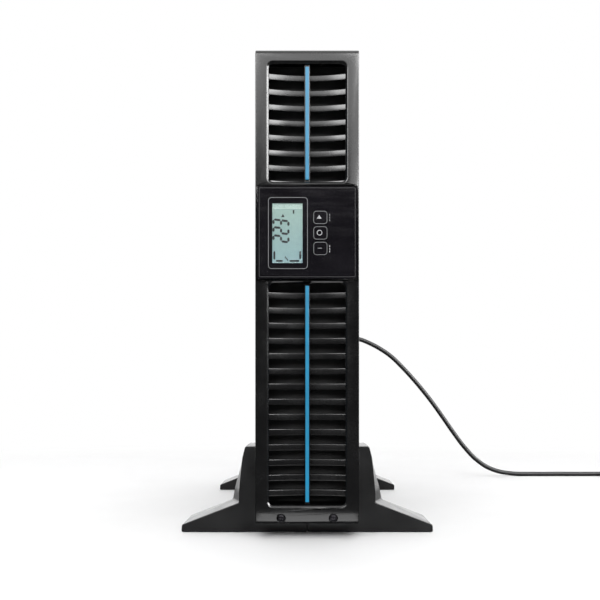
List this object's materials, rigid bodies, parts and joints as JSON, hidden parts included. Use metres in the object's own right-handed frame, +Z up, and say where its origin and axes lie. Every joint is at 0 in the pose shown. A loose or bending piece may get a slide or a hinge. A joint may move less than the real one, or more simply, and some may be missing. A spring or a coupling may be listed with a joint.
{
  "type": "uninterruptible power supply",
  "caption": "Slim rack or tower power backup unit standing on two stands, with a louvred front, a display that turns a quarter turn, push buttons, rear outlets, a fan and a mains lead.",
  "frame": {"origin": "on the floor, under the middle of the unit on its stands, the lead left out", "axes": "+Z up as the unit stands as a tower, the front with the display faces -Y, +X is to the right seen from the front"},
  "size_m": [0.6592, 0.5498, 0.419],
  "materials": {
    "bezel_plastic": "fine matt texture, charcoal grey",
    "grille_plastic": "satin black plastic",
    "blue_plastic": "smooth light blue strip",
    "fascia_gloss": "high gloss black",
    "clear_window": "clear glossy window",
    "lcd": "backlit grey-green liquid crystal",
    "inner_plastic": "black moulded plastic",
    "capacitor_sleeve": "dark blue shrink sleeve",
    "case_steel": "fine textured black powder coat",
    "zinc_steel": "zinc plated sheet",
    "dark_screw": "blackened steel screw",
    "brass": "yellow passivated steel",
    "aluminium": "extruded aluminium",
    "winding": "enamelled copper winding",
    "circuit_board": "green solder mask",
    "battery_case": "moulded battery case",
    "foot_plastic": "satin charcoal plastic",
    "pad_rubber": "matt rubber",
    "cord_jacket": "matt black cable jacket and moulded connectors"
  },
  "bodies": {
    "unit": {"front_bezel": "bezel_plastic", "upper_grille": "grille_plastic", "lower_grille": "grille_plastic", "upper_accent_strip": "blue_plastic", "lower_accent_strip": "blue_plastic", "fan_frame": "inner_plastic", "outlet_block_left": "inner_plastic", "outlet_block_right": "inner_plastic", "mains_inlet": "inner_plastic", "breaker_body": "inner_plastic", "capacitor_1": "capacitor_sleeve", "capacitor_2": "capacitor_sleeve", "chassis_tray": "case_steel", "chassis_cover": "case_steel", "front_plate": "case_steel", "rear_panel": "case_steel", "slot_cover": "case_steel", "battery_door": "case_steel", "divider": "zinc_steel", "battery_tray": "zinc_steel", "fan_guard": "zinc_steel", "port_block": "zinc_steel", "network_jack_1": "zinc_steel", "network_jack_2": "zinc_steel", "bezel_screw_left": "dark_screw", "bezel_screw_right": "dark_screw", "earth_screw": "brass", "heatsink_upper": "aluminium", "heatsink_lower": "aluminium", "inductor": "winding", "transformer": "winding", "main_board": "circuit_board", "battery_1": "battery_case", "battery_2": "battery_case", "battery_3": "battery_case", "battery_4": "battery_case", "front_left_foot": "foot_plastic", "front_right_foot": "foot_plastic", "rear_left_foot": "foot_plastic", "rear_right_foot": "foot_plastic", "front_left_pad": "pad_rubber", "front_right_pad": "pad_rubber", "rear_left_pad": "pad_rubber", "rear_right_pad": "pad_rubber", "line_connector": "cord_jacket", "strain_relief": "cord_jacket", "cord_run": "cord_jacket", "cord_coil": "cord_jacket", "cord_tail": "cord_jacket", "mains_plug": "cord_jacket"},
    "display_unit": {"display_fascia": "fascia_gloss", "display_window": "clear_window", "lcd_module": "lcd", "display_drum": "inner_plastic", "display_board": "circuit_board"},
    "test_button": {"test_button": "fascia_gloss"},
    "off_button": {"off_button": "fascia_gloss"},
    "on_button": {"on_button": "fascia_gloss"},
    "fan_rotor": {"fan_rotor": "inner_plastic"},
    "breaker_button": {"breaker_button": "inner_plastic"}
  },
  "joints": [
    {"name": "display_turn", "type": "hinge", "parent": "unit", "child": "display_unit", "pos_m": [0, -0.2165, 0.2618], "axis": [0, 1, 0], "range_deg": [0, 90]},
    {"name": "test_press", "type": "slide", "parent": "display_unit", "child": "test_button", "axis": [0, 1, 0], "range_m": [0, 0.0006], "stiffness_N_per_m": 800},
    {"name": "off_press", "type": "slide", "parent": "display_unit", "child": "off_button", "axis": [0, 1, 0], "range_m": [0, 0.0006], "stiffness_N_per_m": 800},
    {"name": "on_press", "type": "slide", "parent": "display_unit", "child": "on_button", "axis": [0, 1, 0], "range_m": [0, 0.0006], "stiffness_N_per_m": 800},
    {"name": "fan_spin", "type": "hinge", "parent": "unit", "child": "fan_rotor", "pos_m": [0, 0.1992, 0.372], "axis": [0, 1, 0], "continuous": true},
    {"name": "breaker_reset", "type": "slide", "parent": "unit", "child": "breaker_button", "axis": [0, 1, 0], "range_m": [0, 0.003]}
  ]
}
